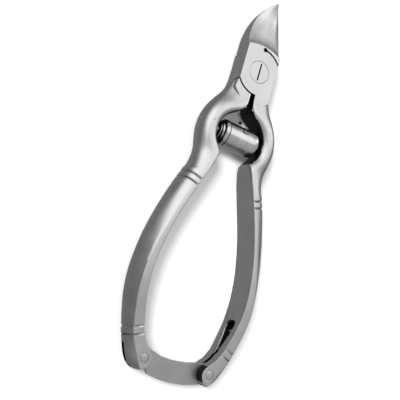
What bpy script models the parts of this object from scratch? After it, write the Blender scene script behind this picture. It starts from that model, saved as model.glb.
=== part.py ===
"""Toenail nipper with concave jaws, a barrel spring in its bow and a back lock.

Metres, +Z up. The nipper lies on its back face with the jaws to +Y and the handles to -Y.
Every piece is laid out in the pivot frame: X across the handles, Y along the nipper from the
pivot to the tip, and Z from the middle of the depth to the front.
"""

import math

import bmesh
import bpy
from mathutils import Matrix, Vector

MM = 0.001

# Overall sizes
JAW_LENGTH = 28.5 * MM  # pivot axis to the tip
HANDLE_REACH = 107.4 * MM  # pivot axis to the lock rivets, along Y
HAND_GAP = 37.8 * MM  # widest clear space between the handles
HANDLE_DEPTH = 11.6 * MM
HANDLE_THICKNESS = 6.3 * MM  # inner face to the crown of the outer face
FORK_DEPTH = 0.78 * HANDLE_DEPTH  # depth of the handles' ends
JOINT_DEPTH = 8.2 * MM
JOINT_WIDTH = 14.2 * MM

# Lap joint
LAP_RADIUS = 9.0 * MM
LAP_GAP = 0.3 * MM
NECK_GAP = 1.8 * MM
NECK_FLARE = 0.4 * MM  # how much each side of the neck's gap opens towards the bow
THROAT_RADIUS = 0.75 * MM
SCREW_HEAD_RADIUS = 4.15 * MM
SCREW_HEAD_HEIGHT = 1.7 * MM
SCREW_SHANK_RADIUS = 2.4 * MM
SCREW_SLOT_WIDTH = 0.8 * MM
SCREW_SLOT_DEPTH = 0.7 * MM
SCREW_SLOT_LENGTH = 6.6 * MM
PIVOT_CLEARANCE = 0.15 * MM

# Bow and barrel spring
BOW_RADIUS = 9.2 * MM  # hole that the spring sits in
BOW_WALL = 6.8 * MM
BOW_FLARE = 1.5 * MM  # extra wall where the bow meets the neck
BOW_DROP = 25.6 * MM  # pivot axis to the hole's centre
BOW_DEPTH = 9.8 * MM
SEAT_RADIUS = 2.0 * MM  # domed ends of the spring assembly
SEAT_INSET = 0.5 * MM  # how far the domes' centres stand inside the hole
SEAT_CLEARANCE = 0.3 * MM
BARREL_RADIUS = 4.9 * MM
BARREL_WALL = 0.7 * MM
BARREL_LENGTH = 15 * MM  # mouth to the dome's centre
BARREL_SHOULDER = 2.6 * MM  # dome's centre to the start of the full radius
COIL_WIRE = 0.9 * MM
COIL_CLEARANCE = 0.3 * MM
COIL_TURNS = 8
PLUNGER_RADIUS = 4.0 * MM
HEAD_DROP = 1.2 * MM  # dome's centre to the head's face
HEAD_THICKNESS = 0.7 * MM
STEM_RADIUS = 2.2 * MM
STEM_LENGTH = 10.5 * MM
SLIT_WIDTH = 0.5 * MM
SLIT_LENGTH = 1.8 * MM  # length of the part along the barrel
SLIT_RISE = 3.4 * MM  # length of the part that runs round the barrel
SLIT_ANGLE = 68  # degrees from the top of the barrel towards its front
STOP_PIN_RADIUS = 0.6 * MM
STOP_PIN_ANGLE = 25  # degrees, as for the slit

# Lock
RIVET_SPACING = 25.3 * MM
RIVET_RADIUS = 1.5 * MM
RIVET_CLEARANCE = 0.2 * MM
LATCH_WIDTH = 7.3 * MM
LATCH_THICKNESS = 1.4 * MM
LATCH_SAG = 2.2 * MM
LATCH_OVERHANG = 3.8 * MM  # catch rivet to the bar's square end
LATCH_CLEARANCE = 0.3 * MM
HOOK_ANGLE = math.radians(50)
LEAF_THICKNESS = 0.5 * MM
LEAF_DEPTH = 1.9 * MM  # handle's inner face to the leaf, at its rivet
LEAF_SLOT_WIDTH = 3.4 * MM
LEAF_SLOT_DEPTH = 2.8 * MM
LEAF_RIVET_RADIUS = 0.8 * MM

# Grooves around the handles
GROOVE_DEPTH = 0.35 * MM
GROOVE_WIDTH = 0.8 * MM
GROOVE_PITCH = 2.3 * MM

EDGE_CHAMFER = 0.35 * MM
ROUND_STEPS = 32
FRAME_Y = (HANDLE_REACH + LATCH_SAG + LATCH_WIDTH / 2 - JAW_LENGTH) / 2

STEEL = (0.60, 0.60, 0.61, 1.0)
POLISHED = (0.72, 0.72, 0.73, 1.0)
DARK = (0.12, 0.12, 0.12, 1.0)


def clear_scene():
    for obj in list(bpy.data.objects):
        bpy.data.objects.remove(obj, do_unlink=True)


def new_collection(name):
    collection = bpy.data.collections.new(name)
    bpy.context.scene.collection.children.link(collection)
    return collection


def steel(name, colour, roughness):
    material = bpy.data.materials.new(name)
    material.use_nodes = True
    shader = material.node_tree.nodes["Principled BSDF"]
    shader.inputs["Base Color"].default_value = colour
    shader.inputs["Roughness"].default_value = roughness
    shader.inputs["Metallic"].default_value = 1.0
    return material


def place(obj, parent, location=(0, 0, 0), rotation=(0, 0, 0)):
    obj.parent = parent
    obj.location = location
    obj.rotation_euler = rotation
    return obj


def piece(name, mesh, material):
    """A visible part, shaded smooth with its real edges kept sharp."""
    obj = bpy.data.objects.new(name, mesh)
    parts.objects.link(obj)
    mesh.materials.append(material)
    mesh.shade_smooth()
    mesh.set_sharp_from_angle(angle=math.radians(35))
    return obj


def helper(name, mesh):
    """A cutter or a joined block, which is never a part itself."""
    obj = bpy.data.objects.new(name, mesh)
    cutters.objects.link(obj)
    obj.hide_render = True
    obj.display_type = "WIRE"
    return obj


def combine(target, tool, operation):
    modifier = target.modifiers.new(tool.name, "BOOLEAN")
    modifier.operation = operation
    modifier.object = tool


def mesh_from(name, bm):
    bmesh.ops.recalc_face_normals(bm, faces=bm.faces)
    mesh = bpy.data.meshes.new(name)
    bm.to_mesh(mesh)
    bm.free()
    return mesh


def loft(name, sections):
    """Skin a row of closed sections that have the same number of points, with flat ends."""
    bm = bmesh.new()
    rings = [[bm.verts.new(point) for point in section] for section in sections]
    for near, far in zip(rings, rings[1:]):
        for i in range(len(near)):
            j = (i + 1) % len(near)
            bm.faces.new((near[i], near[j], far[j], far[i]))
    bm.faces.new(rings[0])
    bm.faces.new(rings[-1])
    return mesh_from(name, bm)


def cylinder(name, radius, length):
    bm = bmesh.new()
    bmesh.ops.create_cone(
        bm, cap_ends=True, segments=ROUND_STEPS, radius1=radius, radius2=radius, depth=length
    )
    return mesh_from(name, bm)


def box(name, size):
    bm = bmesh.new()
    bmesh.ops.create_cube(bm, size=1, matrix=Matrix.Diagonal((*size, 1)))
    return mesh_from(name, bm)


def ball(name, radius):
    bm = bmesh.new()
    bmesh.ops.create_uvsphere(bm, u_segments=24, v_segments=12, radius=radius)
    return mesh_from(name, bm)


def curve_mesh(name, curve):
    """The welded mesh of a curve."""
    source = bpy.data.objects.new(name, curve)
    bpy.context.scene.collection.objects.link(source)
    evaluated = source.evaluated_get(bpy.context.evaluated_depsgraph_get())
    mesh = bpy.data.meshes.new_from_object(evaluated)
    bpy.data.objects.remove(source, do_unlink=True)
    bm = bmesh.new()
    bm.from_mesh(mesh)
    bmesh.ops.remove_doubles(bm, verts=bm.verts, dist=0.001 * MM)
    bpy.data.meshes.remove(mesh)
    return mesh_from(name, bm)


def poly_curve(name, points, closed):
    curve = bpy.data.curves.new(name, "CURVE")
    spline = curve.splines.new("POLY")
    spline.points.add(len(points) - 1)
    for target, point in zip(spline.points, points):
        target.co = (*point, 1)
    spline.use_cyclic_u = closed
    return curve


def flat_plate(name, outline, low, high):
    """A flat outline with its faces at the heights low and high."""
    curve = poly_curve(name, [(x, y, 0) for x, y in outline], True)
    curve.dimensions = "2D"
    curve.fill_mode = "BOTH"
    curve.extrude = (high - low) / 2
    mesh = curve_mesh(name, curve)
    mesh.transform(Matrix.Translation((0, 0, (high + low) / 2)))
    return mesh


def turned(name, profile, axis):
    """Turn a profile of (radius, height) points, given from top to bottom, about an axis."""
    mesh = bpy.data.meshes.new(name)
    points = [(radius, 0, height) for radius, height in profile]
    edges = [(i, i + 1) for i in range(len(points) - 1)]
    mesh.from_pydata(points, edges, [])
    source = bpy.data.objects.new(name, mesh)
    bpy.context.scene.collection.objects.link(source)
    screw = source.modifiers.new("turn", "SCREW")
    screw.steps = ROUND_STEPS
    screw.render_steps = ROUND_STEPS
    screw.use_merge_vertices = True
    screw.merge_threshold = 0.001 * MM
    bpy.context.view_layer.update()
    evaluated = source.evaluated_get(bpy.context.evaluated_depsgraph_get())
    result = bpy.data.meshes.new_from_object(evaluated)
    bpy.data.objects.remove(source, do_unlink=True)
    result.transform(Vector((0, 0, 1)).rotation_difference(Vector(axis)).to_matrix().to_4x4())
    return result


def arc(centre, radius, start, end, steps):
    """Points of an arc in the plane, angles in degrees."""
    angles = [math.radians(start + (end - start) * i / steps) for i in range(steps + 1)]
    return [
        Vector((centre[0] + radius * math.cos(a), centre[1] + radius * math.sin(a)))
        for a in angles
    ]


def smooth(knots, steps):
    """Catmull-Rom points through the knots, with the given number of steps between two."""
    ends = [2 * knots[0] - knots[1]] + knots + [2 * knots[-1] - knots[-2]]
    points = []
    for a, b, c, d in zip(ends, ends[1:], ends[2:], ends[3:]):
        for i in range(steps):
            t = i / steps
            points.append(
                0.5
                * (
                    2 * b
                    + (c - a) * t
                    + (2 * a - 5 * b + 4 * c - d) * t**2
                    + (3 * b - a - 3 * c + d) * t**3
                )
            )
    return points + [knots[-1]]


def rivet_place(side):
    """Centre of the lock rivet in the left (-1) or right (1) handle."""
    return Vector((side * RIVET_SPACING / 2, -HANDLE_REACH))


def bow_centre():
    return Vector((0, -BOW_DROP))


def handle_inner():
    """Knots of the right handle's inner face, from the bow's lower corner to the fork."""
    corner = arc(bow_centre(), BOW_RADIUS + 0.8 * MM, -54, -54, 1)[0]
    root = rivet_place(1) + Vector((2.9, 7.5)) * MM
    reach = HAND_GAP / 2
    shares = [(0.13, 0.50), (0.29, 0.72), (0.46, 0.89), (0.60, 0.98), (0.71, 1.0), (0.84, 0.965)]
    bowed = [
        Vector((reach * across, corner.y + (root.y - corner.y) * along))
        for along, across in shares
    ]
    return [corner] + bowed + [root]


def normal_at(points, i):
    """Unit normal of a path in the plane, pointing to its outer side."""
    before = points[max(i - 1, 0)]
    after = points[min(i + 1, len(points) - 1)]
    along = (after - before).normalized()
    return Vector((-along.y, along.x))


def blend(pairs, value):
    """Linear interpolation in a list of (position, amount), positions falling."""
    if value >= pairs[0][0]:
        return pairs[0][1]
    for (a, low), (b, high) in zip(pairs, pairs[1:]):
        if value >= b:
            return low + (high - low) * (a - value) / (a - b)
    return pairs[-1][1]


def limb_stations():
    """Inner and outer points of the right limb, from the joint round the bow to the fork's end."""
    centre = bow_centre()
    stations = []
    neck_in = Vector((NECK_GAP / 2, -LAP_RADIUS * 0.8))
    neck_out = Vector((JOINT_WIDTH / 2 + 0.3 * MM, -LAP_RADIUS * 0.45))
    stations.append((neck_in, neck_out))
    for angle in range(80, -31, -10):
        inner = arc(centre, BOW_RADIUS, angle, angle, 1)[0]
        inner.x = max(inner.x, NECK_GAP / 2 + NECK_FLARE)
        lean = angle - 0.37 * max(angle - 20, 0)
        wall = BOW_WALL + BOW_FLARE * (max(angle - 10, 0) / 50 + max(-angle - 5, 0) / 40)
        stations.append((inner, arc(centre, BOW_RADIUS + wall, lean, lean, 1)[0]))
    knots = handle_inner()
    inner = smooth(knots, 3)
    bow_low = stations[-1][1]
    waist = bow_low + Vector((0.5, -6.0)) * MM
    crown = inner[6] + normal_at(inner, 6) * HANDLE_THICKNESS
    shoulder = smooth([bow_low, waist, crown], 3)
    for i, outer in enumerate(shoulder[1:-1]):
        stations.append((inner[i], outer))
    for i in range(len(shoulder) - 2, len(inner)):
        stations.append((inner[i], inner[i] + normal_at(inner, i) * HANDLE_THICKNESS))
    lobe_in = [(2.9, 7.5), (0.6, 4.2), (-1.9, 2.5), (-3.3, 0.2), (-2.7, -2.2), (-0.9, -3.9)]
    lobe_out = [(0, 0), (7.5, 2.6), (6.3, 0), (4.9, -2.1), (3.4, -3.4), (1.3, -4.3)]
    end_in = smooth([rivet_place(1) + Vector(p) * MM for p in lobe_in], 2)
    lobe_out[0] = (stations[-1][1] - rivet_place(1)) / MM
    end_out = smooth([rivet_place(1) + Vector(p) * MM for p in lobe_out], 2)
    stations.extend(list(zip(end_in, end_out))[1:])
    return stations


def with_grooves(stations):
    """Add three stations for each groove: two rims and a floor."""
    marks = []
    upper = -BOW_DROP - BOW_RADIUS - BOW_WALL - 4.5 * MM
    lower = -HANDLE_REACH + 7.4 * MM
    for top in (upper, lower + GROOVE_PITCH):
        for centre in (top, top - GROOVE_PITCH):
            marks.append((centre + GROOVE_WIDTH / 2, 0))
            marks.append((centre, GROOVE_DEPTH))
            marks.append((centre - GROOVE_WIDTH / 2, 0))
    result = [(a, b, 0) for a, b in stations]
    for level, depth in marks:
        for i, ((a, b, _), (c, d, _)) in enumerate(zip(result, result[1:])):
            if a.y >= level > c.y and a.y < -BOW_DROP - BOW_RADIUS:
                t = (a.y - level) / (a.y - c.y)
                result.insert(i + 1, (a.lerp(c, t), b.lerp(d, t), depth))
                break
    return result


def limb_section(inner, outer, groove):
    """D-shaped section: flat inner face, flat facets front and back, rounded outer face."""
    width = (outer - inner).length
    across = (outer - inner).normalized()
    level = inner.y
    bow = -BOW_DROP
    handle = bow - BOW_RADIUS - BOW_WALL
    fork = -HANDLE_REACH
    half = blend(
        [
            (-LAP_RADIUS, JOINT_DEPTH / 2),
            (bow + BOW_RADIUS / 2, BOW_DEPTH / 2),
            (bow - BOW_RADIUS / 2, BOW_DEPTH / 2),
            (handle, HANDLE_DEPTH / 2),
            (handle - 40 * MM, HANDLE_DEPTH / 2),
            (fork + 10 * MM, FORK_DEPTH / 2 + 0.35 * MM),
            (fork, FORK_DEPTH / 2),
        ],
        level,
    )
    facet = width * blend(
        [
            (-LAP_RADIUS, 0.6),
            (bow + BOW_RADIUS, 0.3),
            (handle, 0.25),
            (handle - 25 * MM, 0.45),
            (fork + 10 * MM, 0.6),
        ],
        level,
    )
    front = half - groove
    crown = width - groove
    edge = EDGE_CHAMFER
    profile = [(0, -half + edge), (0, half - edge), (edge, front)]
    steps = 6
    for i in range(2 * steps + 1):
        angle = math.pi / 2 - math.pi * i / (2 * steps)
        profile.append((facet + (crown - facet) * math.cos(angle), front * math.sin(angle)))
    profile.append((edge, -front))
    return [(*(inner + across * u), z) for u, z in profile]


def jaw_section(level, half_width, ridge, brim, back):
    """Section of the left jaw: a face that falls from the cutting edge to the outer brim."""
    gap = LAP_GAP / 2
    relief = 0.12 * (ridge - back)
    width = max(half_width - gap, 0.15 * MM)
    lean = 0.06 * width
    points = [
        (-gap, ridge),
        (-gap - 0.30 * width, ridge - 0.10 * (ridge - brim)),
        (-gap - 0.60 * width, ridge - 0.38 * (ridge - brim)),
        (-gap - 0.85 * width, ridge - 0.75 * (ridge - brim)),
        (-gap - width, brim),
        (-gap - width + lean, back + 0.12 * (brim - back)),
        (-gap - 0.85 * width + lean, back),
        (-gap - relief, back),
        (-gap - 0.25 * relief, ridge - 0.25 * (ridge - back)),
    ]
    return [(x, level, z) for x, z in points]


def jaw_mesh(front):
    """The left jaw, from inside the joint to the tip. Its face is hollow along its length.

    front is 1 or -1, the side in Z that the hollow faces.
    """
    half = JOINT_DEPTH / 2
    side = JOINT_WIDTH / 2
    root = LAP_RADIUS + 0.5 * MM
    reach = JAW_LENGTH - root
    rows = [
        (0.00, 0.94, 0.92, 0.86, -1.02),
        (0.11, 0.93, 0.82, 0.58, -1.04),
        (0.24, 0.91, 0.70, 0.38, -1.04),
        (0.37, 0.87, 0.62, 0.20, -0.99),
        (0.50, 0.80, 0.56, 0.11, -0.82),
        (0.63, 0.70, 0.55, 0.11, -0.58),
        (0.75, 0.56, 0.60, 0.22, -0.28),
        (0.86, 0.36, 0.74, 0.46, 0.10),
        (0.94, 0.17, 0.88, 0.70, 0.50),
        (1.00, 0.04, 1.00, 0.94, 0.80),
    ]
    sections = [
        jaw_section(LAP_RADIUS * 0.3, side, half, half, -half),
        jaw_section(root - 0.5 * MM, side * 0.95, half, half, -half),
    ]
    for along, wide, ridge, brim, back in rows:
        level = root + reach * along
        sections.append(jaw_section(level, side * wide, half * ridge, half * brim, half * back))
    return loft("jaw", [[(x, y, front * z) for x, y, z in section] for section in sections])


def joint_plate_outline():
    """Disc of the lap, cut to the width of the joint."""
    radius = LAP_RADIUS - LAP_GAP / 2
    side = JOINT_WIDTH / 2
    turn = math.degrees(math.acos(min(side / radius, 0.99)))
    return arc((0, 0), radius, turn, 180 - turn, 12) + arc((0, 0), radius, 180 + turn, 360 - turn, 12)


def neck_outline():
    """Flat neck of the right limb, from the middle of the joint down to the bow."""
    side = JOINT_WIDTH / 2
    gap = NECK_GAP / 2
    low = -BOW_DROP + math.sqrt(BOW_RADIUS**2 - (gap + NECK_FLARE) ** 2)
    return [
        Vector((gap, -LAP_RADIUS * 0.6)),
        Vector((gap, -LAP_RADIUS - 0.3 * MM)),
        Vector((gap + 0.6 * MM, low + 1.2 * MM)),
        Vector((gap + 1.8 * MM, low + 2.0 * MM)),
        Vector((side + 1.0 * MM, -LAP_RADIUS - 0.2 * MM)),
        Vector((side + 0.5 * MM, -LAP_RADIUS * 0.5)),
        Vector((side, 0)),
        Vector((gap + 2 * MM, 0)),
    ]


def build_arm(name, turn):
    """One forging. The left arm is the right arm turned half round about the nipper's length,
    apart from its jaw, which faces the front on both arms.
    """
    half = JOINT_DEPTH / 2
    sections = [limb_section(*station) for station in with_grooves(limb_stations())]
    arm = place(piece(name, loft(name, sections), satin), frame, rotation=(0, turn, 0))
    plate = helper(name + "_lap", flat_plate("lap", joint_plate_outline(), LAP_GAP / 2, half))
    neck = helper(name + "_neck", flat_plate("neck", neck_outline(), -half, half))
    jaw = helper(name + "_jaw", jaw_mesh(round(math.cos(turn))))
    pocket = helper(name + "_pocket", cylinder("pocket", LAP_RADIUS + LAP_GAP / 2, 2 * half))
    place(pocket, arm, (0, 0, LAP_GAP / 2 - half))
    for block in (neck, jaw):
        combine(arm, place(block, arm), "UNION")
    combine(arm, pocket, "DIFFERENCE")
    combine(arm, place(plate, arm), "UNION")
    cut(arm, cylinder("throat", THROAT_RADIUS, 4 * half), (0, LAP_RADIUS, 0))
    return arm


def cut(target, mesh, location=(0, 0, 0), rotation=(0, 0, 0)):
    tool = helper(target.name + "_" + mesh.name, mesh)
    combine(target, place(tool, frame, location, rotation), "DIFFERENCE")


def seat_place(side):
    """Centre of the dome at the left (-1) or right (1) end of the spring assembly."""
    return Vector((side * (BOW_RADIUS - SEAT_INSET), -BOW_DROP, 0))


def fork_cuts(arm, side):
    """Slot for the lock bar and hole for the rivet, in one handle's end."""
    centre = rivet_place(side)
    depth = LATCH_THICKNESS + 2 * LATCH_CLEARANCE
    top = LATCH_WIDTH / 2 + 2 * LATCH_CLEARANCE
    end = -8 * MM
    width = 20 * MM
    location = (centre.x + side * 3 * MM, centre.y + (top + end) / 2, 0)
    cut(arm, box("fork_slot", (width, top - end, depth)), location)
    hole = cylinder("rivet_hole", RIVET_RADIUS + RIVET_CLEARANCE, 2 * HANDLE_DEPTH)
    cut(arm, hole, (centre.x, centre.y, 0))


def leaf_path():
    """Inner face of the right handle along the leaf spring's slot, from its top to the fork."""
    points = smooth(handle_inner(), 6)
    top = -HANDLE_REACH + 19.5 * MM
    low = -HANDLE_REACH + 3.5 * MM
    return [p for p in points if top >= p.y >= low]


def offset(points, distance):
    return [p + normal_at(points, i) * distance for i, p in enumerate(points)]


def cut_leaf_slot(arm):
    """Round-ended slot in the right handle's inner face."""
    path = leaf_path()
    fork = rivet_place(1) + Vector((1.5 * MM, LATCH_WIDTH / 2 - 0.5 * MM))
    path = path + [fork]
    outline = offset(path, -2 * MM) + list(reversed(offset(path, LEAF_SLOT_DEPTH)))
    half = LEAF_SLOT_WIDTH / 2
    cut(arm, flat_plate("leaf_slot", outline, -half, half))
    outward = normal_at(path, 0)
    middle = path[0] + outward * (LEAF_SLOT_DEPTH / 2 - 1 * MM)
    end = cylinder("leaf_slot_end", half, LEAF_SLOT_DEPTH + 2 * MM)
    end.transform(Vector((0, 0, 1)).rotation_difference(outward.to_3d()).to_matrix().to_4x4())
    cut(arm, end, middle.to_3d())


def build_screw():
    """Slotted screw, flush with the front of the joint and with its back."""
    half = JOINT_DEPTH / 2
    head = SCREW_HEAD_RADIUS
    bevel = 0.2 * MM
    profile = [
        (0, half),
        (head - bevel, half),
        (head, half - bevel),
        (head, half - SCREW_HEAD_HEIGHT),
        (SCREW_SHANK_RADIUS, half - SCREW_HEAD_HEIGHT),
        (SCREW_SHANK_RADIUS, -half + bevel),
        (SCREW_SHANK_RADIUS - bevel, -half),
        (0, -half),
    ]
    screw = place(piece("pivot_screw", turned("pivot_screw", profile, (0, 0, 1)), satin), frame)
    slot = box("slot", (SCREW_SLOT_WIDTH, SCREW_SLOT_LENGTH, 2 * SCREW_SLOT_DEPTH))
    cut(screw, slot, (0, 0, half))
    return screw


def cut_screw_hole(arm):
    half = JOINT_DEPTH / 2
    depth = SCREW_HEAD_HEIGHT + PIVOT_CLEARANCE
    bore = cylinder("bore", SCREW_SHANK_RADIUS + PIVOT_CLEARANCE, 4 * half)
    head = cylinder("counterbore", SCREW_HEAD_RADIUS + PIVOT_CLEARANCE, 2 * depth)
    cut(arm, bore)
    cut(arm, head, (0, 0, half))


def dome(radius, end, base_radius, steps):
    """Profile points from a dome's tip down to the given base radius."""
    low = math.asin(base_radius / radius)
    points = []
    for i in range(steps + 1):
        angle = low * i / steps
        points.append((radius * math.sin(angle), end + radius * math.cos(angle)))
    return points


def build_barrel():
    """Barrel with a domed closed end. Its origin is the dome's centre, its axis runs to +X."""
    outer = BARREL_RADIUS
    inner = outer - BARREL_WALL
    mouth = -BARREL_LENGTH
    lip = 0.5 * MM
    shoulder = -BARREL_SHOULDER
    floor = shoulder - BARREL_WALL
    neck = SEAT_RADIUS * 0.95
    profile = dome(SEAT_RADIUS, 0, neck, 5)
    profile += [
        (neck, -0.8 * MM),
        (outer * 0.6, -1.0 * MM),
        (outer * 0.9, -1.7 * MM),
        (outer, shoulder),
        (outer, mouth + lip),
        (outer - lip, mouth),
        (inner, mouth),
        (inner, floor),
        (0, floor),
    ]
    mesh = turned("spring_barrel", profile, (1, 0, 0))
    barrel = place(piece("spring_barrel", mesh, polished), frame, seat_place(1))
    for size, turn, along in (
        ((SLIT_LENGTH, SLIT_WIDTH, 4 * BARREL_WALL), SLIT_ANGLE, 7.2 * MM),
        ((SLIT_WIDTH, SLIT_RISE, 4 * BARREL_WALL), SLIT_ANGLE - 20, 6.5 * MM),
    ):
        turn = math.radians(turn)
        centre = seat_place(1) + Vector((mouth + along, outer * math.cos(turn), outer * math.sin(turn)))
        cut(barrel, box("slit", size), centre, (turn - math.pi / 2, 0, 0))
    return barrel


def build_stop_pin():
    """Stop pin that stands on the barrel beside its slit."""
    turn = math.radians(STOP_PIN_ANGLE)
    outward = Vector((0, math.cos(turn), math.sin(turn)))
    base = 0.5 * MM
    profile = dome(STOP_PIN_RADIUS, 0, STOP_PIN_RADIUS * 0.99, 5)
    profile += [(STOP_PIN_RADIUS, -base), (0, -base)]
    mesh = turned("barrel_pin", profile, outward)
    foot = seat_place(1) + Vector((-BARREL_LENGTH + 5.2 * MM, 0, 0))
    height = BARREL_RADIUS + base + 0.35 * MM
    return place(piece("barrel_pin", mesh, dark), frame, foot + outward * height)


def build_plunger():
    """Headed guide rod. Its origin is the dome's centre, its axis runs to -X."""
    edge = 0.3 * MM
    base = -HEAD_DROP - HEAD_THICKNESS
    neck = SEAT_RADIUS * 0.95
    profile = dome(SEAT_RADIUS, 0, neck, 5)
    profile += [
        (neck, -HEAD_DROP + edge),
        (PLUNGER_RADIUS - edge, -HEAD_DROP),
        (PLUNGER_RADIUS, -HEAD_DROP - edge),
        (PLUNGER_RADIUS, base),
        (STEM_RADIUS, base),
        (STEM_RADIUS, -STEM_LENGTH + edge),
        (STEM_RADIUS - edge, -STEM_LENGTH),
        (0, -STEM_LENGTH),
    ]
    mesh = turned("spring_plunger", profile, (-1, 0, 0))
    return place(piece("spring_plunger", mesh, satin), frame, seat_place(-1))


def build_coil():
    """Compression spring from the plunger's head to the barrel's floor."""
    wire = COIL_WIRE / 2
    radius = BARREL_RADIUS - BARREL_WALL - COIL_CLEARANCE - wire
    start = seat_place(-1).x + HEAD_DROP + HEAD_THICKNESS + COIL_CLEARANCE + wire
    end = seat_place(1).x - BARREL_SHOULDER - BARREL_WALL - COIL_CLEARANCE - wire
    turn_steps = 12
    steps = turn_steps * COIL_TURNS
    points = []
    for i in range(steps + 1):
        angle = 2 * math.pi * i / turn_steps
        along = start + (end - start) * i / steps
        points.append((along, radius * math.cos(angle), radius * math.sin(angle)))
    curve = poly_curve("coil_spring", points, False)
    curve.dimensions = "3D"
    curve.bevel_depth = wire
    curve.bevel_resolution = 1
    curve.use_fill_caps = True
    coil = piece("coil_spring", curve_mesh("coil_spring", curve), polished)
    return place(coil, frame, (0, -BOW_DROP, 0))


def latch_outline():
    """Bowed bar from the heel at the origin to the hooked end, laid towards -X."""
    half = LATCH_WIDTH / 2
    span = RIVET_SPACING
    notch = RIVET_RADIUS + RIVET_CLEARANCE

    def sag(x):
        u = x / span
        return -LATCH_SAG * 4 * u * (1 - u)

    heel = arc((0, 0), half, -80, 80, 10)
    top = [Vector((-x, half + sag(x))) for x in (3 * MM, span * 0.3, span * 0.5, span * 0.7)]
    mouth_right = Vector((-span + notch + 0.6 * MM, half - 0.4 * MM))
    pocket = arc((-span, 0), notch, 0, -180 + math.degrees(math.pi / 2 - HOOK_ANGLE), 8)
    end = -span - LATCH_OVERHANG
    tangent = pocket[-1]
    corner = 0.6 * MM
    rise = (tangent.x - end - corner) / math.tan(HOOK_ANGLE)
    tooth = Vector((end + corner, tangent.y + rise))
    low = (span * 0.83, span * 0.67, span * 0.5, span * 0.3, 3 * MM)
    bottom = [Vector((-x, -half + sag(x))) for x in low]
    step = LATCH_OVERHANG - corner
    tip = [
        tooth,
        Vector((end, tooth.y - corner)),
        Vector((end, -half + 2 * corner)),
        Vector((end + corner, -half + corner)),
        Vector((-span + step, -half + corner / 2)),
    ]
    return heel + top + [mouth_right] + pocket + tip + bottom


def build_latch():
    half = LATCH_THICKNESS / 2
    mesh = flat_plate("latch_bar", latch_outline(), -half, half)
    bar = place(piece("latch_bar", mesh, satin), frame, rivet_place(1).to_3d())
    hole = cylinder("hinge_hole", RIVET_RADIUS + RIVET_CLEARANCE, LATCH_THICKNESS * 4)
    cut(bar, hole, rivet_place(1).to_3d())
    return bar


def build_rivet(name, side):
    """Rivet through both cheeks of a fork, flush with them."""
    half = FORK_DEPTH / 2
    edge = 0.15 * MM
    profile = [
        (0, half),
        (RIVET_RADIUS - edge, half),
        (RIVET_RADIUS, half - edge),
        (RIVET_RADIUS, edge - half),
        (RIVET_RADIUS - edge, -half),
        (0, -half),
    ]
    mesh = turned(name, profile, (0, 0, 1))
    return place(piece(name, mesh, satin), frame, rivet_place(side).to_3d())


def build_leaf():
    """Flat spring along the slot, from its rivet to just above the lock bar's heel."""
    path = leaf_path()
    heel = LATCH_WIDTH / 2 + 2 * LATCH_CLEARANCE
    end = rivet_place(1) + Vector((0.35, 1)).normalized() * heel
    seated = offset(path, LEAF_DEPTH)[:3]
    low = offset(path, LEAF_DEPTH * 0.6)[-1]
    line = smooth(seated + [low, end], 4)
    outline = line + list(reversed(offset(line, LEAF_THICKNESS)))
    narrow = LATCH_THICKNESS / 2
    mesh = flat_plate("leaf_spring", outline, -narrow, narrow)
    return place(piece("leaf_spring", mesh, dark), frame)


def build_leaf_rivet():
    """Small rivet that holds the leaf spring in its slot."""
    path = leaf_path()
    outward = normal_at(path, 1)
    base = 0.2 * MM
    foot = path[1] + outward * (LEAF_DEPTH - base - LAP_GAP)
    profile = dome(LEAF_RIVET_RADIUS, 0, LEAF_RIVET_RADIUS * 0.99, 5)
    profile += [(LEAF_RIVET_RADIUS, -base), (0, -base)]
    mesh = turned("leaf_rivet", profile, (-outward).to_3d())
    return place(piece("leaf_rivet", mesh, dark), frame, foot.to_3d())


clear_scene()
parts = new_collection("toenail_nipper")
cutters = new_collection("cutters")
satin = steel("satin_steel", STEEL, 0.38)
polished = steel("polished_steel", POLISHED, 0.18)
dark = steel("dark_steel", DARK, 0.45)

frame = bpy.data.objects.new("pivot_frame", None)
parts.objects.link(frame)
frame.location = (0, FRAME_Y, HANDLE_DEPTH / 2)
bpy.context.view_layer.update()

right_arm = build_arm("right_arm", 0)
left_arm = build_arm("left_arm", math.pi)
for arm, side in ((left_arm, -1), (right_arm, 1)):
    cut_screw_hole(arm)
    cut(arm, ball("seat", SEAT_RADIUS + SEAT_CLEARANCE), seat_place(side))
    fork_cuts(arm, side)
cut_leaf_slot(right_arm)
build_screw()
build_barrel()
build_stop_pin()
build_plunger()
build_coil()
build_latch()
build_rivet("latch_pin", 1)
build_rivet("catch_pin", -1)
build_leaf()
build_leaf_rivet()
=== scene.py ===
import math

import bmesh
import bpy
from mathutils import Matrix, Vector


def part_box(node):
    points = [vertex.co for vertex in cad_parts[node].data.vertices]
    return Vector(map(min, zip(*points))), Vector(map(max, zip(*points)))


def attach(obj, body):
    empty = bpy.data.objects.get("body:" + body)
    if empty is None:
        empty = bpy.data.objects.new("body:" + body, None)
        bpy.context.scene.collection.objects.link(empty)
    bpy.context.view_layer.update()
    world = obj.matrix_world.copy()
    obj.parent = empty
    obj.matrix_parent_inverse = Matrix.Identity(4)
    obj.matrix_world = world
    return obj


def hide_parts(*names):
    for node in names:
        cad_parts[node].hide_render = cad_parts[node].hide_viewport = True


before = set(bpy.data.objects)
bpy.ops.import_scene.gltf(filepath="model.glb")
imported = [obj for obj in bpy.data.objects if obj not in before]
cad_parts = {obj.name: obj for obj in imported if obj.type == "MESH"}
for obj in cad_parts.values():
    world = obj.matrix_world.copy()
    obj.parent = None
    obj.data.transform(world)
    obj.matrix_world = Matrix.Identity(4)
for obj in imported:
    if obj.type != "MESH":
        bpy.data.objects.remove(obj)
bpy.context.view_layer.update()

# The nipper is modelled in millimetres round its pivot: X across the handles, Y to the tip and
# Z to the front. Every finished piece is then put into metres at the pivot's place in the frame.
MM = 0.001


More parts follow.
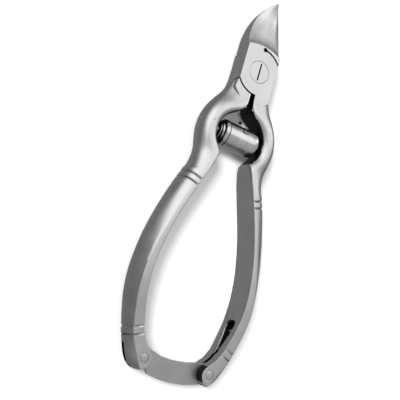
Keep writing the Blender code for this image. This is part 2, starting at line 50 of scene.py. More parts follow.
def centre_of(node):
    low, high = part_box(node)
    return (Vector(low) + Vector(high)) / 2


PIVOT = centre_of("pivot_screw")


def from_pivot(node):
    """Centre of a CAD node in millimetres from the pivot."""
    return (centre_of(node) - PIVOT) / MM


JOINT_HALF = 4.1  # half the depth of the joint
JOINT_SIDE = 7.1  # half its width
LAP_RADIUS = 9.0
LAP_GAP = 0.6  # between the lap plate and the other arm, in front
BACK_GAP = 0.12  # and at the back
SEAM = 0.03  # between the jaws and between the halves of the lap
THROAT_RADIUS = 0.8
HEAD_RADIUS = 4.15
SHANK_RADIUS = 2.4
BORE_RADIUS = 2.5
SEAT_CLEARANCE = 0.015
RIVET = from_pivot("latch_pin")
RIVET_RADIUS = 1.5
RIVET_CLEARANCE = 0.02
BOW = from_pivot("spring_barrel").y
SPRING_SEAT_RADIUS = 2.3
SPRING_SEAT_PLACE = 8.7
HANDLE_THICKNESS = 6.2
THROUGH = 30  # long enough for a cut right through
SMOOTH_ANGLE = math.radians(32)


# ---------------------------------------------------------------- modelling


def begin():
    if bpy.context.object and bpy.context.object.mode == "EDIT":
        bpy.ops.object.mode_set(mode="OBJECT")
    bpy.ops.object.select_all(action="DESELECT")


def only(obj):
    begin()
    obj.select_set(True)
    bpy.context.view_layer.objects.active = obj
    return obj


def applied(obj):
    """Put an object's place, turn and scale into its mesh."""
    only(obj)
    bpy.ops.object.transform_apply(location=True, rotation=True, scale=True)
    return obj


def rings_piece(name, rings):
    """Extrude one closed ring into the next, corner by corner, and close both ends."""
    begin()
    bpy.ops.mesh.primitive_circle_add(vertices=len(rings[0]))
    obj = bpy.context.object
    obj.name = name
    for vertex, point in zip(obj.data.vertices, rings[0]):
        vertex.co = point
    bpy.ops.object.mode_set(mode="EDIT")
    bpy.ops.mesh.select_all(action="SELECT")
    for last, ring in zip(rings, rings[1:]):
        bpy.ops.mesh.extrude_edges_move()
        bm = bmesh.from_edit_mesh(obj.data)
        for vertex in [v for v in bm.verts if v.select]:
            nearest = min(range(len(last)), key=lambda i: (vertex.co - last[i]).length)
            vertex.co = ring[nearest]
        bmesh.update_edit_mesh(obj.data)
    bpy.ops.mesh.select_all(action="SELECT")
    bpy.ops.mesh.fill_holes(sides=0)
    bpy.ops.mesh.normals_make_consistent(inside=False)
    bpy.ops.object.mode_set(mode="OBJECT")
    return obj


def block(name, outline, low, high):
    """A flat outline, extruded from one height to another."""
    begin()
    bpy.ops.mesh.primitive_circle_add(vertices=len(outline), fill_type="NGON")
    obj = bpy.context.object
    obj.name = name
    for vertex, point in zip(obj.data.vertices, outline):
        vertex.co = (point[0], point[1], low)
    bpy.ops.object.mode_set(mode="EDIT")
    bpy.ops.mesh.select_all(action="SELECT")
    bpy.ops.mesh.extrude_region_move(TRANSFORM_OT_translate={"value": (0, 0, high - low)})
    bpy.ops.mesh.select_all(action="SELECT")
    bpy.ops.mesh.normals_make_consistent(inside=False)
    bpy.ops.object.mode_set(mode="OBJECT")
    return obj


def rod(name, radius, depth, place=(0, 0, 0), turn=(0, 0, 0), sides=96):
    begin()
    bpy.ops.mesh.primitive_cylinder_add(
        vertices=sides, radius=radius, depth=depth, location=place, rotation=turn
    )
    obj = bpy.context.object
    obj.name = name
    return applied(obj)


def turned(name, profile, sides=64):
    """Rings of (radius, height) round Z, from the top down."""
    rings = []
    for radius, height in profile:
        angles = [2 * math.pi * i / sides for i in range(sides)]
        rings.append([Vector((radius * math.cos(a), radius * math.sin(a), height)) for a in angles])
    return rings_piece(name, rings)


def use(obj, kind, **settings):
    """Add a modifier and apply it."""
    only(obj)
    modifier = obj.modifiers.new(kind.lower(), kind)
    for key, value in settings.items():
        setattr(modifier, key, value)
    bpy.ops.object.modifier_apply(modifier=modifier.name)
    return obj


def join_on(obj, tool, operation="UNION"):
    use(obj, "BOOLEAN", object=tool, operation=operation, solver="EXACT")
    bpy.data.objects.remove(tool, do_unlink=True)
    return obj


def cut(obj, tool):
    return join_on(obj, tool, "DIFFERENCE")


def edit_edges(obj, test):
    """Enter edit mode with only the edges that pass the test selected."""
    only(obj)
    bpy.ops.object.mode_set(mode="EDIT")
    bpy.ops.mesh.select_mode(type="EDGE")
    bpy.ops.mesh.select_all(action="DESELECT")
    bm = bmesh.from_edit_mesh(obj.data)
    for edge in bm.edges:
        if test(edge):
            edge.select = True
    bmesh.update_edit_mesh(obj.data)


def leave_edges():
    bpy.ops.mesh.select_mode(type="VERT")
    bpy.ops.object.mode_set(mode="OBJECT")


def crease(obj, test, amount):
    """Crease the edges whose two ends together pass the test."""
    edit_edges(obj, lambda edge: test(*edge.verts))
    bpy.ops.transform.edge_crease(value=amount)
    leave_edges()


def placed(obj):
    """Put a piece modelled in millimetres at the pivot's place, in metres."""
    obj.scale = (MM, MM, MM)
    obj.location = PIVOT
    return applied(obj)


def finished(obj, finish, body, node, in_painted_shade=None):
    """Give a piece its finish and its body, paint the faces the mask picks near black as shade, and hide the
    CAD node it replaces.
    """
    only(obj)
    bpy.ops.object.shade_smooth_by_angle(angle=SMOOTH_ANGLE)
    obj.data.materials.clear()
    obj.data.materials.append(finish)
    if in_painted_shade:
        obj.data.materials.append(painted_shade_black)
        for face in obj.data.polygons:
            if in_painted_shade((face.center - PIVOT) / MM, face.normal):
                face.material_index = 1
    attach(obj, body)
    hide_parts(node)
    return obj


def arc(centre, radius, start, end, steps):
    angles = [math.radians(start + (end - start) * i / steps) for i in range(steps + 1)]
    return [Vector((centre[0] + radius * math.cos(a), centre[1] + radius * math.sin(a))) for a in angles]


def smooth(knots, steps):
    """Catmull-Rom points through the knots."""
    ends = [2 * knots[0] - knots[1]] + knots + [2 * knots[-1] - knots[-2]]
    points = []
    for a, b, c, d in zip(ends, ends[1:], ends[2:], ends[3:]):
        for i in range(steps):
            t = i / steps
            bend = (c - a) * t + (2 * a - 5 * b + 4 * c - d) * t**2 + (3 * b - a - 3 * c + d) * t**3
            points.append(b + 0.5 * bend)
    return points + [knots[-1]]


# ---------------------------------------------------------------- finishes


class Value:
    """A shader socket that Python's operators work on."""

    def __init__(self, finish, socket):
        self.finish = finish
        self.socket = socket

    def _math(self, operation, first, second):
        return self.finish.node("ShaderNodeMath", {"operation": operation}, inputs=(first, second))

    def __add__(self, other):
        return self._math("ADD", self, other)

    def __radd__(self, other):
        return self._math("ADD", other, self)

    def __sub__(self, other):
        return self._math("SUBTRACT", self, other)

    def __rsub__(self, other):
        return self._math("SUBTRACT", other, self)

    def __mul__(self, other):
        return self._math("MULTIPLY", self, other)

    def __rmul__(self, other):
        return self._math("MULTIPLY", other, self)

    def step(self, low, high):
        """0 below low, 1 above high and smooth between them."""
        return self.finish.node(
            "ShaderNodeMapRange",
            {"interpolation_type": "SMOOTHSTEP"},
            inputs=(self, low, high, 0.0, 1.0),
        )


class Finish:
    """One procedural material."""

    def __init__(self, name, metallic=1.0):
        self.material = bpy.data.materials.new(name)
        self.material.use_nodes = True
        self.tree = self.material.node_tree
        self.shader = self.tree.nodes["Principled BSDF"]
        self.shader.inputs["Metallic"].default_value = metallic
        self.place = self.node("ShaderNodeTexCoord", out="Object")

    def feed(self, socket, value):
        if isinstance(value, Value):
            self.tree.links.new(value.socket, socket)
        else:
            socket.default_value = value

    def node(self, kind, settings=None, inputs=(), named=None, out=0):
        made = self.tree.nodes.new(kind)
        for key, value in (settings or {}).items():
            setattr(made, key, value)
        for i, value in enumerate(inputs):
            if value is not None:
                self.feed(made.inputs[i], value)
        for key, value in (named or {}).items():
            self.feed(made.inputs[key], value)
        return Value(self, made.outputs[out])

    def noise(self, size, detail=2.0, stretch=(1, 1, 1)):
        """Noise whose features are about size millimetres across."""
        place = self.node("ShaderNodeMapping", named={"Vector": self.place, "Scale": stretch})
        named = {"Vector": place, "Scale": 1 / (size * MM), "Detail": detail}
        return self.node("ShaderNodeTexNoise", named=named)

    def mixed(self, factor, first, second):
        """A colour between two, each a socket or a grey."""
        made = self.tree.nodes.new("ShaderNodeMix")
        made.data_type = "RGBA"
        self.feed(made.inputs[0], factor)
        for i, colour in ((6, first), (7, second)):
            self.feed(made.inputs[i], colour if isinstance(colour, Value) else (*colour, 1))
        return Value(self, made.outputs[2])

    def crevice(self, reach):
        """Ambient occlusion, 0 in a tight crevice and 1 in the open, used to paint shade into colour."""
        return self.node(
            "ShaderNodeAmbientOcclusion", {"samples": 8}, named={"Distance": reach * MM}, out="AO"
        )

    def bumped(self, height, depth, edge=None):
        named = {"Height": height, "Distance": depth * MM, "Strength": 1.0}
        if edge:
            named["Normal"] = self.node("ShaderNodeBevel", {"samples": 6}, named={"Radius": edge * MM})
        return self.node("ShaderNodeBump", named=named)

    def give(self, **sockets):
        for key, value in sockets.items():
            self.feed(self.shader.inputs[key.replace("_", " ")], value)
        return self.material


GRAIN_DEPTH = 0.012


def satin_finish(name, light, rough):
    """Fine blasted steel: faint clouds, a grain that catches the light, painted shade near black in the
    crevices.
    """
    f = Finish(name)
    clouds = f.noise(6.0, 3).step(0.3, 0.7)
    specks = f.noise(0.32, 1).step(0.25, 0.75)
    pits = 1.0 - f.noise(0.9, 0).step(0.14, 0.19)
    base = tuple(c * light for c in (1.0, 1.0, 1.01))
    worn = tuple(c * 0.86 for c in base)
    colour = f.mixed(clouds * 0.5 + specks * 0.5, worn, base)
    colour = f.mixed(pits * 0.5, colour, (0.1, 0.1, 0.1))
    # Painted shade: the colour goes near black where ambient occlusion finds a crevice.
    colour = f.mixed(f.crevice(1.4).step(0.25, 0.8), (0.03, 0.03, 0.03), colour)
    return f.give(
        Base_Color=colour,
        Roughness=rough + 0.08 * specks + 0.04 * clouds,
        Normal=f.bumped(f.noise(0.22, 2), GRAIN_DEPTH, 0.14),
    )


def turned_finish(name, light, rough):
    """Polished steel with fine turning marks round X and painted shade in its crevices."""
    f = Finish(name)
    rings = f.noise(0.12, 2, (1, 0.02, 0.02))
    smears = f.noise(2.0, 2, (1, 0.3, 0.3)).step(0.3, 0.7)
    base = (light, light, light * 1.01)
    worn = tuple(c * 0.8 for c in base)
    colour = f.mixed(smears * 0.6 + rings * 0.4, worn, base)
    # Painted shade: the colour goes near black where ambient occlusion finds a crevice.
    colour = f.mixed(f.crevice(3.0).step(0.2, 0.7), (0.02, 0.02, 0.02), colour)
    return f.give(
        Base_Color=colour,
        Roughness=rough + 0.1 * smears,
        Normal=f.bumped(rings, 0.006, 0.1),
    )


def dark_finish(name, grey, rough):
    """Dark steel with faint stains."""
    f = Finish(name)
    stains = f.noise(1.2, 3).step(0.3, 0.7)
    colour = f.mixed(stains, (grey, grey, grey), (grey * 1.7,) * 3)
    return f.give(Base_Color=colour, Roughness=rough + 0.1 * stains, Normal=f.bumped(f.noise(0.2, 2), 0.01))


satin = satin_finish("satin_steel_arms", 0.60, 0.30)
cheek = satin_finish("satin_steel_lock", 0.50, 0.34)
polished = turned_finish("polished_steel_barrel", 0.66, 0.2)
wire = turned_finish("polished_spring_wire", 0.6, 0.2)
leaf_steel = dark_finish("blued_leaf_steel", 0.16, 0.3)
# Near-black steel that paints shade on recesses, gaps, slots and slits.
painted_shade_black = dark_finish("painted_shade_black_steel", 0.02, 0.5)


# ---------------------------------------------------------------- arms

LIMB = [  # inner and outer corner in the plan, and half the depth
    ((0.9, -5.0), (7.3, -3.4), 3.7),
    ((0.9, -9.0), (8.6, -6.4), 3.8),
    ((1.0, -12.0), (9.7, -9.2), 4.3),
    ((1.5, -15.3), (10.9, -11.8), 4.8),
    ((3.3, -16.8), (12.4, -14.0), 4.9),
    ((5.6, -18.1), (14.0, -16.6), 4.9),
    ((7.7, -20.2), (15.3, -19.6), 4.9),
    ((9.1, -22.7), (16.1, -22.8), 4.9),
    ((9.7, -25.6), (16.4, -26.0), 4.9),
    ((9.4, -28.3), (16.1, -29.2), 4.9),
    ((8.5, -30.7), (15.4, -32.2), 4.95),
    ((6.1, -33.9), (14.9, -35.4), 5.1),
    ((7.6, -37.2), (15.0, -38.8), 5.3),
    ((9.6, -42.3), (15.9, -42.4), 5.6),
]
HANDLE_IN = [  # the inner face down the handle, and then round its end inside and outside
    (11.5, -47.5), (13.9, -54.2), (16.4, -62.6), (18.3, -71.6),
    (19.0, -80.0), (18.6, -86.7), (17.5, -92.0), (15.5, -99.0),
]
LOBE_IN = [(13.4, -102.8), (11.0, -104.8), (9.5, -106.9), (9.8, -109.0), (11.3, -110.7)]
LOBE_OUT = [(20.2, -104.0), (19.0, -107.2), (17.8, -109.3), (16.2, -110.9), (14.0, -111.7)]
# Each of these tables gives a value at some heights, from the top down.
DEPTHS = [(-42, 5.6), (-50, 5.8), (-84, 5.8), (-92, 5.2), (-98, 4.65), (-102, 4.5)]
BOW_BLEND = [(-15, 0), (-19, 0.7), (-31, 0.7), (-36, 0)]
FACET_BLEND = [(-48, 0), (-74, 1)]
FLAT_SHARE = [(-8, 0.16), (-16, 0.18), (-40, 0.18), (-62, 0.3), (-80, 0.48), (-100, 0.62)]
FACET_STARTS = ((-56, 0.1), (-63, 0.1), (-70, 0.15), (-77, 0.2))  # and how much creasing is added
GROOVES = (-46.1, -48.4, -97.7, -100.0)
GROOVE_HALF = 0.42
GROOVE_DEPTH = 0.5
BOW_CORNER = -33.9


def between(pairs, value):
    """Read a value off one of the tables."""
    for (a, low), (b, high) in zip(pairs, pairs[1:]):
        if a >= value >= b:
            return low + (high - low) * (a - value) / (a - b)
    return pairs[0][1] if value > pairs[0][0] else pairs[-1][1]


def limb_stations():
    """(inner, outer, half depth, groove depth) down the right limb."""
    stations = [(Vector(a), Vector(b), half, 0) for a, b, half in LIMB]
    path = smooth([Vector(LIMB[-1][0])] + [Vector(p) for p in HANDLE_IN], 3)[1:]
    for before, here, after in zip([stations[-1][0]] + path, path, path[1:] + [Vector(LOBE_IN[0])]):
        along = (after - before).normalized()
        outer = here + Vector((-along.y, along.x)) * HANDLE_THICKNESS
        stations.append((here, outer, between(DEPTHS, here.y), 0))
    for a, b in zip(LOBE_IN, LOBE_OUT):
        stations.append((Vector(a), Vector(b), between(DEPTHS, a[1]), 0))
    for level in GROOVES:
        for shift, depth in ((2.2, 0), (1, 0), (0, GROOVE_DEPTH), (-1, 0), (-2.2, 0)):
            y = level + shift * GROOVE_HALF
            for i, (a, b) in enumerate(zip(stations, stations[1:])):
                if a[0].y > y >= b[0].y and a[0].y < BOW_CORNER:
                    t = (a[0].y - y) / (a[0].y - b[0].y)
                    mid = [p.lerp(q, t) for p, q in zip(a[:2], b[:2])]
                    stations.insert(i + 1, (*mid, a[2] + (b[2] - a[2]) * t, depth))
                    break
    return stations


# Way out, 1 at the flat's edge and 2 at the outer side, and share of the half depth
D_SECTION = [(0, 0.99), (0.5, 1), (1, 1), (1.52, 0.86), (1.88, 0.5), (2, 0)]
ROUND_SECTION = [(0, 0.5), (0.9, 0.84), (1.3, 0.99), (1.66, 0.9), (1.9, 0.55), (2, 0)]
FACET_SECTION = [(0, 0.99), (0.5, 1), (1, 1), (1.5, 0.6), (1.85, 0.24), (2, 0)]


def section_point(i, level):
    """Blend the sections: round in the bow and faceted down the handle."""
    mix = Vector(D_SECTION[i]).lerp(Vector(ROUND_SECTION[i]), between(BOW_BLEND, level))
    return mix.lerp(Vector(FACET_SECTION[i]), between(FACET_BLEND, level))


def limb_ring(inner, outer, half, groove):
    """Ring from the inner face round over the outer side."""
    flat = between(FLAT_SHARE, inner.y)
    across = outer - inner
    reach = 1 - groove / across.length
    wall = section_point(0, inner.y).y * half
    ring = [inner.to_3d() + Vector((0, 0, wall * z)) for z in (1, 0.5, 0, -0.5, -1)]
    sides = [(-1, i) for i in range(1, 6)] + [(1, i) for i in range(4, 0, -1)]
    for sign, i in sides:
        out, up = section_point(i, inner.y)
        share = flat * out if out < 1 else flat + (reach - flat) * (out - 1)
        point = inner + across * share
        ring.append(Vector((point.x, point.y, sign * up * (half - groove))))
    return ring


def make_limb():
    stations = limb_stations()
    rings = [limb_ring(*station) for station in stations]
    limb = rings_piece("limb", rings)
    place = {}
    for r, ring in enumerate(rings):
        for i, point in enumerate(ring):
            place[tuple(round(c, 4) for c in point)] = (r, i)

    def spot(vertex):
        return place.get(tuple(round(c, 4) for c in vertex.co), (-1, -1))

    def rail(a, b):
        (r, i), (s, j) = spot(a), spot(b)
        level = stations[min(r, s)][0].y
        return r != s and i == j and i in (0, 4) and not -34 < level < -15

    def lower_facet(start):
        def test(a, b):
            (r, i), (s, j) = spot(a), spot(b)
            return r != s and i == j and i in (6, 12) and stations[min(r, s)][0].y < start

        return test

    def bow_corner(a, b):
        (r, i), (s, j) = spot(a), spot(b)
        return r == s and i in range(5) and j in range(5) and abs(stations[r][0].y - BOW_CORNER) < 0.01

    def end_ring(a, b):
        return spot(a)[0] == spot(b)[0] == len(rings) - 1

    def groove_ring(a, b):
        (r, i), (s, j) = spot(a), spot(b)
        level = stations[r][0].y
        return r == s and any(abs(level - g) < 1.1 * GROOVE_HALF for g in GROOVES)

    crease(limb, rail, 0.9)
    crease(limb, groove_ring, 0.7)
    for start, amount in FACET_STARTS:
        crease(limb, lower_facet(start), amount)
    crease(limb, bow_corner, 0.9)
    crease(limb, end_ring, 0.8)
    return use(limb, "SUBSURF", levels=2, render_levels=2)


JAW = [  # height along Y, half width, ridge, brim and back
    (10.2, 7.1, 3.95, 3.4, -4.1),
    (11.0, 7.05, 3.6, 2.9, -4.15),
    (12.0, 6.95, 3.2, 2.2, -4.2),
    (14.0, 6.7, 2.75, 1.5, -4.2),
    (16.0, 6.35, 2.5, 0.95, -4.1),
    (18.0, 5.9, 2.3, 0.55, -3.7),
    (20.0, 5.4, 2.15, 0.35, -3.0),
    (22.0, 4.75, 2.15, 0.4, -2.1),
    (24.0, 3.75, 2.45, 0.9, -1.1),
    (26.0, 2.45, 3.05, 1.85, 0.2),
    (27.4, 1.15, 3.65, 2.95, 1.6),
    (28.4, 0.25, 4.05, 3.9, 3.2),
]


JAW_FACE = [(0.0, 0), (0.25, 0.05), (0.5, 0.22), (0.75, 0.52), (1.0, 1.0)]  # way out and fall
ROOT_BOW = 0.03
ROOT_BOW_LENGTH = 7


def jaw_ring(y, wide, ridge, brim, back):
    """The left jaw's section: a domed front face, a side wall and a back. Its root is bowed."""
    drop = ridge - brim
    edge = -SEAM / 2
    past_root = y - JAW[0][0]
    bowed = ROOT_BOW * max(0, 1 - max(0, past_root) / ROOT_BOW_LENGTH) if past_root > -1 else 0
    ring = [Vector((edge - wide * share, y, ridge - drop * fall)) for share, fall in JAW_FACE]
    ring += [Vector((edge - wide, y, brim - (brim - back) * share)) for share in (0.5, 0.94)]
    ring += [Vector((edge - wide * share, y, back)) for share in (0.96, 0.6, 0.25)]
    ring += [Vector((edge, y, ridge - (ridge - back) * share)) for share in (0.8, 0.4)]
    for point in ring:
        point.y -= bowed * point.x**2
    return ring


def make_jaw():
    """The left jaw, with a square foot that reaches into the joint."""
    square = (JOINT_SIDE, JOINT_HALF, JOINT_HALF, -JOINT_HALF)
    foot = [(2.0, *square), (JAW[0][0] - 0.05, *square)]
    fronts = smooth([Vector(row[:3]) for row in JAW], 4)
    backs = smooth([Vector((row[0], row[3], row[4])) for row in JAW], 4)
    fine = [(*front, back.y, back.z) for front, back in zip(fronts, backs)]
    return rings_piece("jaw", [jaw_ring(*row) for row in foot + fine])


def mirrored(obj):
    obj.scale = (-1, 1, 1)
    applied(obj)
    bpy.ops.object.mode_set(mode="EDIT")
    bpy.ops.mesh.select_all(action="SELECT")
    bpy.ops.mesh.normals_make_consistent(inside=False)
    bpy.ops.object.mode_set(mode="OBJECT")
    return obj


def half_turned(obj):
    """Turn a piece half round about the nipper's length."""
    obj.rotation_euler = (0, math.pi, 0)
    return applied(obj)


NECK_CORNERS = {1: (7.2, -9.6), -1: (7.9, -9.1)}
FORK_OUTLINE = [(-6, -9), (12, -9), (12, 2.2), (3, 3.6), (-6, 4.4)]  # outwards and up from the rivet
FORK_HALF = 0.95


def neck_outline(corner):
    """The neck, from the seam round by its outer corner."""
    return [
        (0.9, -4.0), (0.9, -9.3), (1.15, -12.6), (1.4, -15.0), corner, (7.2, -4.6),
        (JOINT_SIDE, -1.0), (JOINT_SIDE, 0.0), (3.0, 0.0),
    ]


def lap_outline(radius):
    """A round plate with flat sides."""
    turn = math.degrees(math.acos(JOINT_SIDE / radius))
    return arc((0, 0), radius, turn, 180 - turn, 24) + arc((0, 0), radius, 180 + turn, 360 - turn, 24)


def build_arm(name, side):
    """side is 1 for the right arm, whose half of the lap is in front, and -1 for the left."""
    arm = make_limb()
    arm.name = name
    jaw = make_jaw()
    neck = block("neck", neck_outline(NECK_CORNERS[side]), -JOINT_HALF, JOINT_HALF)
    around, within = (LAP_GAP, BACK_GAP) if side < 0 else (BACK_GAP, LAP_GAP)
    pocket = rod("pocket", LAP_RADIUS + around / 2, 2 * JOINT_HALF, (0, 0, SEAM - JOINT_HALF))
    plate = block("plate", lap_outline(LAP_RADIUS - within / 2), SEAM / 2, JOINT_HALF)
    if side < 0:
        for piece in (arm, neck, pocket, plate):
            half_turned(piece)
        mirrored(jaw)
    join_on(arm, neck)
    join_on(arm, jaw)
    cut(arm, pocket)
    join_on(arm, plate)
    cut(arm, rod("throat", THROAT_RADIUS, THROUGH, (0, LAP_RADIUS, 0), sides=48))
    cut(arm, rod("screw_bore", BORE_RADIUS, THROUGH))
    cut(arm, rod("screw_seat", HEAD_RADIUS + SEAT_CLEARANCE, 4, (0, 0, JOINT_HALF)))
    centre = (side * RIVET.x, RIVET.y, 0)
    cut(arm, rod("rivet_hole", RIVET_RADIUS + RIVET_CLEARANCE, THROUGH, centre))
    fork = [(centre[0] + side * x, centre[1] + y) for x, y in FORK_OUTLINE]
    cut(arm, block("fork_slot", fork, -FORK_HALF, FORK_HALF))
    begin()
    bpy.ops.mesh.primitive_uv_sphere_add(
        segments=48, ring_count=24, radius=SPRING_SEAT_RADIUS, location=(side * SPRING_SEAT_PLACE, BOW, 0)
    )
    return cut(arm, applied(bpy.context.object))


def in_arm_painted_shade(centre, normal):
    """The arms' faces painted near black as shade: the lap's rim, the neck, the throat, the bow hole, the
    fork and the leaf slot.
    """
    x, y, z = centre
    upright = abs(normal.z)
    on_rim = abs(math.hypot(x, y) - LAP_RADIUS) < 0.5 and upright < 0.5 and abs(x) < JOINT_SIDE - 0.05
    in_neck = abs(x) < 1.4 and -15.4 < y < -8 and abs(normal.x) > 0.8 and upright < 0.3
    in_throat = math.hypot(x, y - LAP_RADIUS) < 0.9 and upright < 0.3
    in_hole = abs(x) < 9.9 and -33.2 < y < -13.5 and upright < 0.55
    fork_wall = upright > 0.9 and abs(z) < 1.0
    fork_end = normal.y < -0.8 and abs(z) < 0.94
    fork_mouth = 8.5 < x < 11.3 and -110.3 < y < -104.6 and upright < 0.4
    in_fork = y < -100 and (fork_wall or fork_end) or fork_mouth
    return on_rim or in_neck or in_throat or in_hole or in_fork or in_leaf_slot(centre)


LEAF_PATH = [(18.75, -87.4), (18.5, -89), (17.6, -93), (16.2, -97.5), (14.3, -102), (13.6, -105)]
LEAF_HALF = [
    (-87.4, 0.9), (-87.8, 1.8), (-88.6, 2.4), (-91, 2.4), (-94, 1.6), (-98, 0.9), (-105, 0.9),
]
LEAF_DEPTH = 2.9


def leaf_slot():
    """Teardrop slot along the right handle's inner face, down to the fork."""
    rings = []
    for point in smooth([Vector(p) for p in LEAF_PATH], 4):
        half = between(LEAF_HALF, point.y)
        corners = ((-3, -half), (-3, half), (LEAF_DEPTH, half), (LEAF_DEPTH, -half))
        rings.append([Vector((point.x + x, point.y + 0.2 * x, z)) for x, z in corners])
    return rings_piece("leaf_slot", rings)


def in_leaf_slot(centre):
    half = between(LEAF_HALF, centre.y)
    if not (-104 < centre.y < -87.45 and centre.x > 10 and abs(centre.z) < half + 0.02):
        return False
    level = min(LEAF_PATH, key=lambda p: abs(p[1] - centre.y))
    return centre.x < 21.8 and abs(centre.x - level[0]) < 4.5


def bevel_mouth(obj):
    """Round the rim of the leaf slot where it meets the handle's inner face."""

    def rim(edge):
        middle = (edge.verts[0].co + edge.verts[1].co) / 2
        near = abs(abs(middle.z) - between(LEAF_HALF, middle.y)) < 0.3
        if not (near and -100 < middle.y < -86 and 10 < middle.x < 19.2):
            return False
        sharp = len(edge.link_faces) == 2 and edge.calc_face_angle() > math.radians(50)
        return sharp and any(face.normal.x < -0.5 for face in edge.link_faces)

    edit_edges(obj, rim)
    bpy.ops.mesh.bevel(offset=0.4, segments=2, affect="EDGES")
    leave_edges()


right_arm = build_arm("right_arm_forging", 1)
left_arm = build_arm("left_arm_forging", -1)
cut(right_arm, leaf_slot())
bevel_mouth(right_arm)
finished(placed(right_arm), satin, "right_half", "right_arm", in_arm_painted_shade)
finished(placed(left_arm), satin, "left_half", "left_arm", in_arm_painted_shade)


# ---------------------------------------------------------------- screw


HEAD_BEVEL = 0.12
END_BEVEL = 0.15
HEAD_FLOOR = 2.4
SLOT_END = 3.1  # where the slot's round ends have their centres
SLOT_HALF = 0.29
SLOT_FLOOR = 3.3


def build_screw():
    profile = [
        (0.4, JOINT_HALF), (HEAD_RADIUS - HEAD_BEVEL, JOINT_HALF), (HEAD_RADIUS, JOINT_HALF - HEAD_BEVEL),
        (HEAD_RADIUS, HEAD_FLOOR), (SHANK_RADIUS, HEAD_FLOOR), (SHANK_RADIUS, -JOINT_HALF + END_BEVEL),
        (SHANK_RADIUS - END_BEVEL, -JOINT_HALF), (0.4, -JOINT_HALF),
    ]
    screw = turned("pivot_screw_slotted", profile, 96)
    ends = arc((0, SLOT_END), SLOT_HALF, 0, 180, 8) + arc((0, -SLOT_END), SLOT_HALF, 180, 360, 8)
    return cut(screw, block("slot", ends, SLOT_FLOOR, 6))


def in_slot(centre, normal):
    """The walls and the floor of the screw's slot, painted near black as shade."""
    return abs(centre.x) < 0.3 and abs(centre.y) < 3.41 and 3.2 < centre.z < JOINT_HALF - 0.001


finished(placed(build_screw()), satin, "left_half", "pivot_screw", in_slot)


# ---------------------------------------------------------------- spring


def along_x(obj, side=1):
    """Lay a turned piece across the bow, its top to the right, or to the left for side -1."""
    obj.rotation_euler = (0, side * math.pi / 2, 0)
    obj.location = (0, BOW, 0)
    return applied(obj)


# Profiles are (radius, height along X) from the domed end.
DOMED_END = [(0.3, 10.7), (0.9, 10.55), (1.5, 10.15), (1.85, 9.6), (1.95, 9.0)]
BARREL_RADIUS = 4.9
SLIT_TURN = math.radians(70)  # from the top of the barrel towards the front
SLITS = (  # centre along X, half length and half width, and turn round the barrel
    (0.9, 0.95, 0.2, SLIT_TURN),
    (0.15, 0.2, 1.75, SLIT_TURN - 0.36),
)


def build_barrel():
    profile = DOMED_END + [
        (2.0, 8.3), (2.9, 8.2), (3.7, 7.95), (4.3, 7.5), (4.7, 6.9), (4.87, 6.2), (4.9, 5.4),
        (4.9, -4.85), (4.72, -4.95), (4.72, -5.15), (4.88, -5.25), (4.9, -5.9), (4.8, -6.35),
        (4.55, -6.6), (4.3, -6.55), (4.2, -6.2), (4.2, 5.0), (0.3, 5.0),
    ]
    barrel = along_x(turned("spring_barrel_turned", profile, 96))
    for x, long, wide, turn in SLITS:
        tool = block("slit", [(-long, -wide), (long, -wide), (long, wide), (-long, wide)], -1, 1)
        tool.rotation_euler = (turn - math.pi / 2, 0, 0)
        tool.location = (x, BOW + BARREL_RADIUS * math.cos(turn), BARREL_RADIUS * math.sin(turn))
        cut(barrel, tool)
    return barrel


def in_slit(centre, normal):
    """The slit's walls, the groove behind the lip and the inside of the barrel, painted near black as shade.
    """
    reach = math.hypot(centre.y - BOW, centre.z)
    on_skin = reach > 4.8 or (centre.x < -5.2 and reach > 4.25)
    return centre.x < 6 and not on_skin


def build_plunger():
    profile = DOMED_END + [
        (1.95, 8.5), (3.1, 8.35), (3.35, 8.2), (3.35, 7.95), (3.2, 7.85), (2.2, 7.8),
        (2.2, -1.5), (1.9, -1.8), (0.3, -1.8),
    ]
    return along_x(turned("spring_plunger_turned", profile), -1)


def build_coil():
    """Wire wound from the plunger's head to the barrel's floor."""
    thick = 0.47
    radius = 3.4
    start, end = -7.45, 4.4
    turns, steps = 8, 30
    corners = [2 * math.pi * k / 10 for k in range(10)]
    rings = []
    for i in range(turns * steps + 1):
        angle = 2 * math.pi * i / steps
        out = Vector((0, math.cos(angle), math.sin(angle)))
        centre = Vector((start + (end - start) * i / (turns * steps), BOW, 0)) + out * radius
        rings.append([
            centre + Vector((thick * math.cos(c), 0, 0)) + out * thick * math.sin(c) for c in corners
        ])
    return rings_piece("coil_wire", rings)


finished(placed(build_barrel()), polished, "barrel", "spring_barrel", in_slit)
finished(placed(build_plunger()), wire, "plunger", "spring_plunger")
finished(placed(build_coil()), wire, "plunger", "coil_spring")


# ---------------------------------------------------------------- lock and small fittings


def softened(node, name, finish, body, width):
    """A reworked copy of a CAD node: merged, flat faces joined and sharp edges broken."""
    source = only(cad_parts[node])
    bpy.ops.object.duplicate()
    obj = bpy.context.object
    obj.name = name
    obj.parent = None
    obj.matrix_world = source.matrix_world
    applied(obj)
    bpy.ops.object.mode_set(mode="EDIT")
    bpy.ops.mesh.select_all(action="SELECT")
    bpy.ops.mesh.remove_doubles(threshold=0.01 * MM)
    bpy.ops.mesh.dissolve_limited(angle_limit=math.radians(3))
    bpy.ops.object.mode_set(mode="OBJECT")
    use(obj, "BEVEL", width=width * MM, segments=1, limit_method="ANGLE", angle_limit=math.radians(40))
    return finished(obj, finish, body, node)


softened("latch_bar", "lock_bar_plate", cheek, "lock_bar", 0.12)
softened("latch_pin", "lock_rivet", satin, "right_half", 0.03)
softened("catch_pin", "catch_rivet", satin, "left_half", 0.03)
softened("leaf_spring", "leaf_strip", leaf_steel, "right_half", 0.06)
softened("leaf_rivet", "leaf_rivet_head", leaf_steel, "right_half", 0.04)
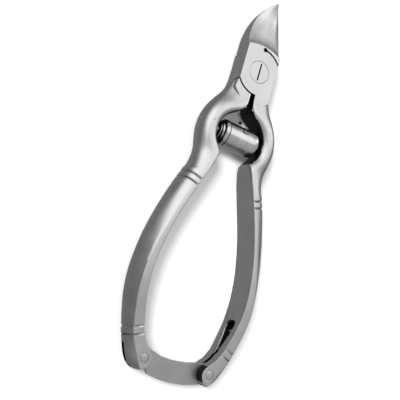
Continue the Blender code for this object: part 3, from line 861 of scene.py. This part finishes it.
# The stop pin is given the same near-black steel that paints shade in the recesses.
softened("barrel_pin", "barrel_stop_pin", painted_shade_black, "barrel", 0.04)


# ---------------------------------------------------------------- stage


def aim(obj, target):
    direction = Vector(target) - obj.location
    obj.rotation_euler = direction.to_track_quat("-Z", "Y").to_euler()


def soft_light(name, place, size, power, target=(0, 0, 0)):
    """A round area light, its size across in metres and its power in watts."""
    bpy.ops.object.light_add(type="AREA", location=place)
    light = bpy.context.object
    light.name = name
    light.data.shape = "DISK"
    light.data.size = size
    light.data.energy = power
    aim(light, target)
    return light


def make_camera():
    bpy.ops.object.camera_add(location=(-0.1075, -0.0573, 0.2009))
    camera = bpy.context.object
    camera.rotation_euler = [math.radians(a) for a in (3.72, -29.55, 18.03)]
    camera.data.lens = 58.4
    camera.data.sensor_width = 36
    camera.data.clip_start = 0.01
    bpy.context.scene.camera = camera


SKY = ((0.0, 0.3), (1.0, 0.6), (0.3, 0.24), (0.48, 0.13), (0.62, 0.38), (0.85, 0.52))  # way up and grey


def make_stage():
    """A pale floor and a grey sky that is darkest just below the horizon."""
    begin()
    bpy.ops.mesh.primitive_plane_add(size=3)
    floor = bpy.context.object
    floor.name = "floor"
    pale = Finish("pale_floor", 0.0)
    tone = pale.mixed(pale.noise(40, 2), (0.88, 0.88, 0.89), (0.91, 0.91, 0.92))
    floor.data.materials.append(pale.give(Base_Color=tone, Roughness=0.9))
    floor.visible_glossy = False
    world = bpy.data.worlds.new("soft_studio")
    bpy.context.scene.world = world
    world.use_nodes = True
    nodes = world.node_tree.nodes
    links = world.node_tree.links
    coord = nodes.new("ShaderNodeTexCoord")
    split = nodes.new("ShaderNodeSeparateXYZ")
    ramp = nodes.new("ShaderNodeValToRGB")
    links.new(coord.outputs["Generated"], split.inputs[0])
    half = nodes.new("ShaderNodeMapRange")
    half.inputs["From Min"].default_value = -1
    links.new(split.outputs["Z"], half.inputs["Value"])
    links.new(half.outputs["Result"], ramp.inputs[0])
    stops = ramp.color_ramp.elements
    for i, (place, grey) in enumerate(SKY):
        stop = stops[i] if i < 2 else stops.new(place)
        stop.position = place
        stop.color = (grey, grey, grey, 1)
    links.new(ramp.outputs["Color"], nodes["Background"].inputs["Color"])
    bpy.context.scene.view_settings.view_transform = "Standard"


make_camera()
make_stage()
# The cards show only in the steel and the sun lights only the floor.
for name, place, size, power, target in (
    ("front_card", (0.11, 0.17, 0.30), 0.34, 0.24, (0, 0.02, 0)),
    ("left_card", (-0.19, 0.19, 0.28), 0.36, 0.42, (0, 0.02, 0)),
    ("right_card", (0.33, 0.24, 0.16), 0.20, 0.16, (0, 0.05, 0)),
):
    soft_light(name, place, size, power, target).visible_diffuse = False
soft_light("floor_fill", (0.1, 0.0, 0.6), 0.9, 1.0).visible_glossy = False
bpy.ops.object.light_add(type="SUN", location=(-0.40, 0.08, 0.48))
sun = bpy.context.object
sun.name = "floor_light"
sun.data.angle = math.radians(20)
sun.data.energy = 3.3
sun.visible_glossy = False
aim(sun, (0, 0.0, 0))
